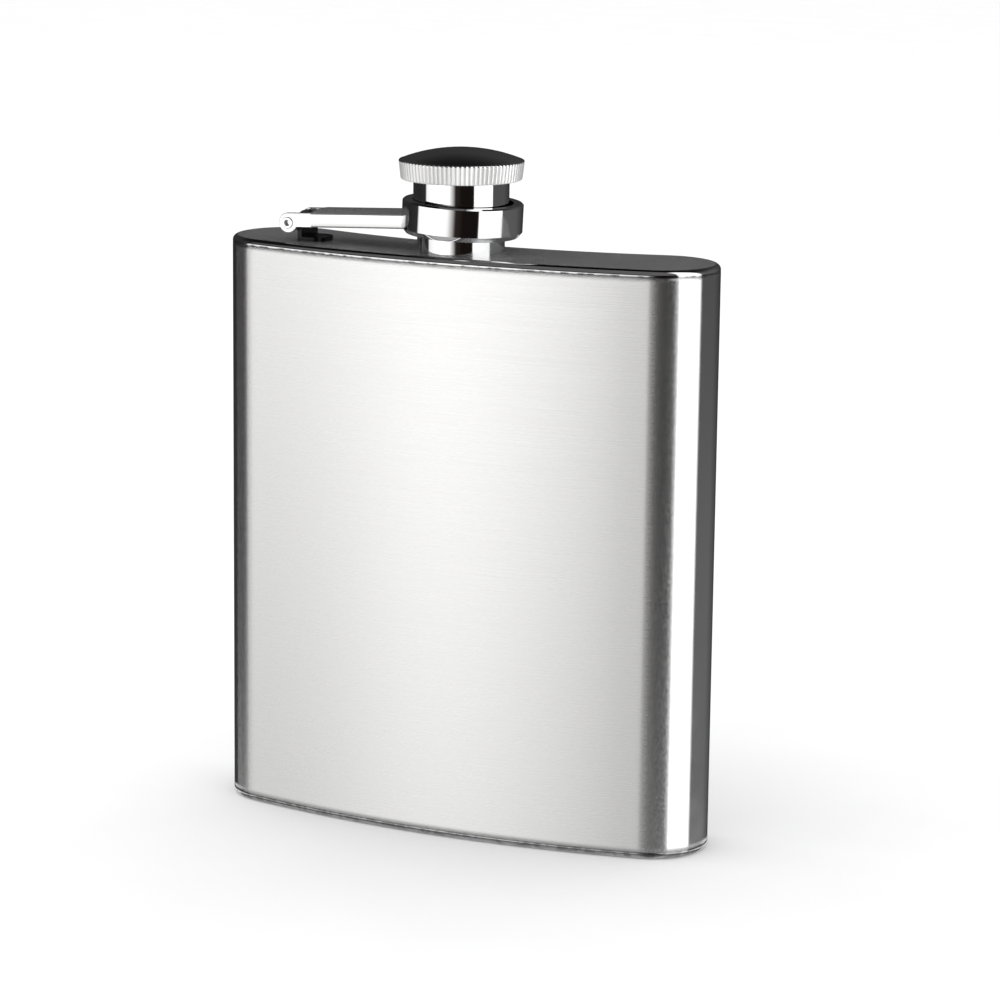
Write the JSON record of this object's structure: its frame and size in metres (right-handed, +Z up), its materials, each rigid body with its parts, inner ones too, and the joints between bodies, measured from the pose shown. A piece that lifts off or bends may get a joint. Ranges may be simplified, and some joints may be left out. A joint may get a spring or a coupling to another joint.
{
  "type": "hip flask",
  "caption": "Curved stainless steel pocket flask with a threaded neck and a knurled screw cap kept on by a hinged arm and a loose ring.",
  "frame": {"origin": "centre of the flask's underside, midway between its ends and midway between its front and back", "axes": "+Z up along the height, +X along the width with the hinge at -X, -Y out of the convex front"},
  "size_m": [0.094, 0.0257, 0.123],
  "materials": {
    "body_steel": "fine horizontal brushing on the front and back, polished round the ends and under the top weld",
    "plate_steel": "satin face, buffed rounded edge",
    "neck_steel": "polished, turned",
    "bracket_steel": "stamped, dark, unpolished",
    "hinge_steel": "polished, stamped",
    "ring_steel": "polished, turned",
    "cap_steel": "polished, knurled rim",
    "seal_silicone": "matt translucent white"
  },
  "bodies": {
    "flask": {"body_shell": "body_steel", "top_plate": "plate_steel", "base_plate": "plate_steel", "neck": "neck_steel", "hinge_bracket": "bracket_steel", "hinge_pin": "hinge_steel"},
    "arm": {"captive_arm": "hinge_steel", "captive_ring": "ring_steel"},
    "seal": {"cap_seal": "seal_silicone"},
    "cap": {"cap_head": "cap_steel", "cap_sleeve": "cap_steel"}
  },
  "joints": [
    {"name": "arm_hinge", "type": "hinge", "parent": "flask", "child": "arm", "pos_m": [-0.0323, -0.0022, 0.1081], "axis": [0, -1, 0], "range_deg": [0, 180]},
    {"name": "cap_lift", "type": "slide", "parent": "arm", "child": "seal", "axis": [0, 0, 1], "range_m": [0, 0.00331]},
    {"name": "cap_spin", "type": "hinge", "parent": "seal", "child": "cap", "pos_m": [0, -0.0022, 0.112], "axis": [0, 0, 1], "range_deg": [0, 540]}
  ],
  "couplings": [
    {"joint": "cap_lift", "follows": "cap_spin", "m_per_rad": 0.00035014}
  ]
}
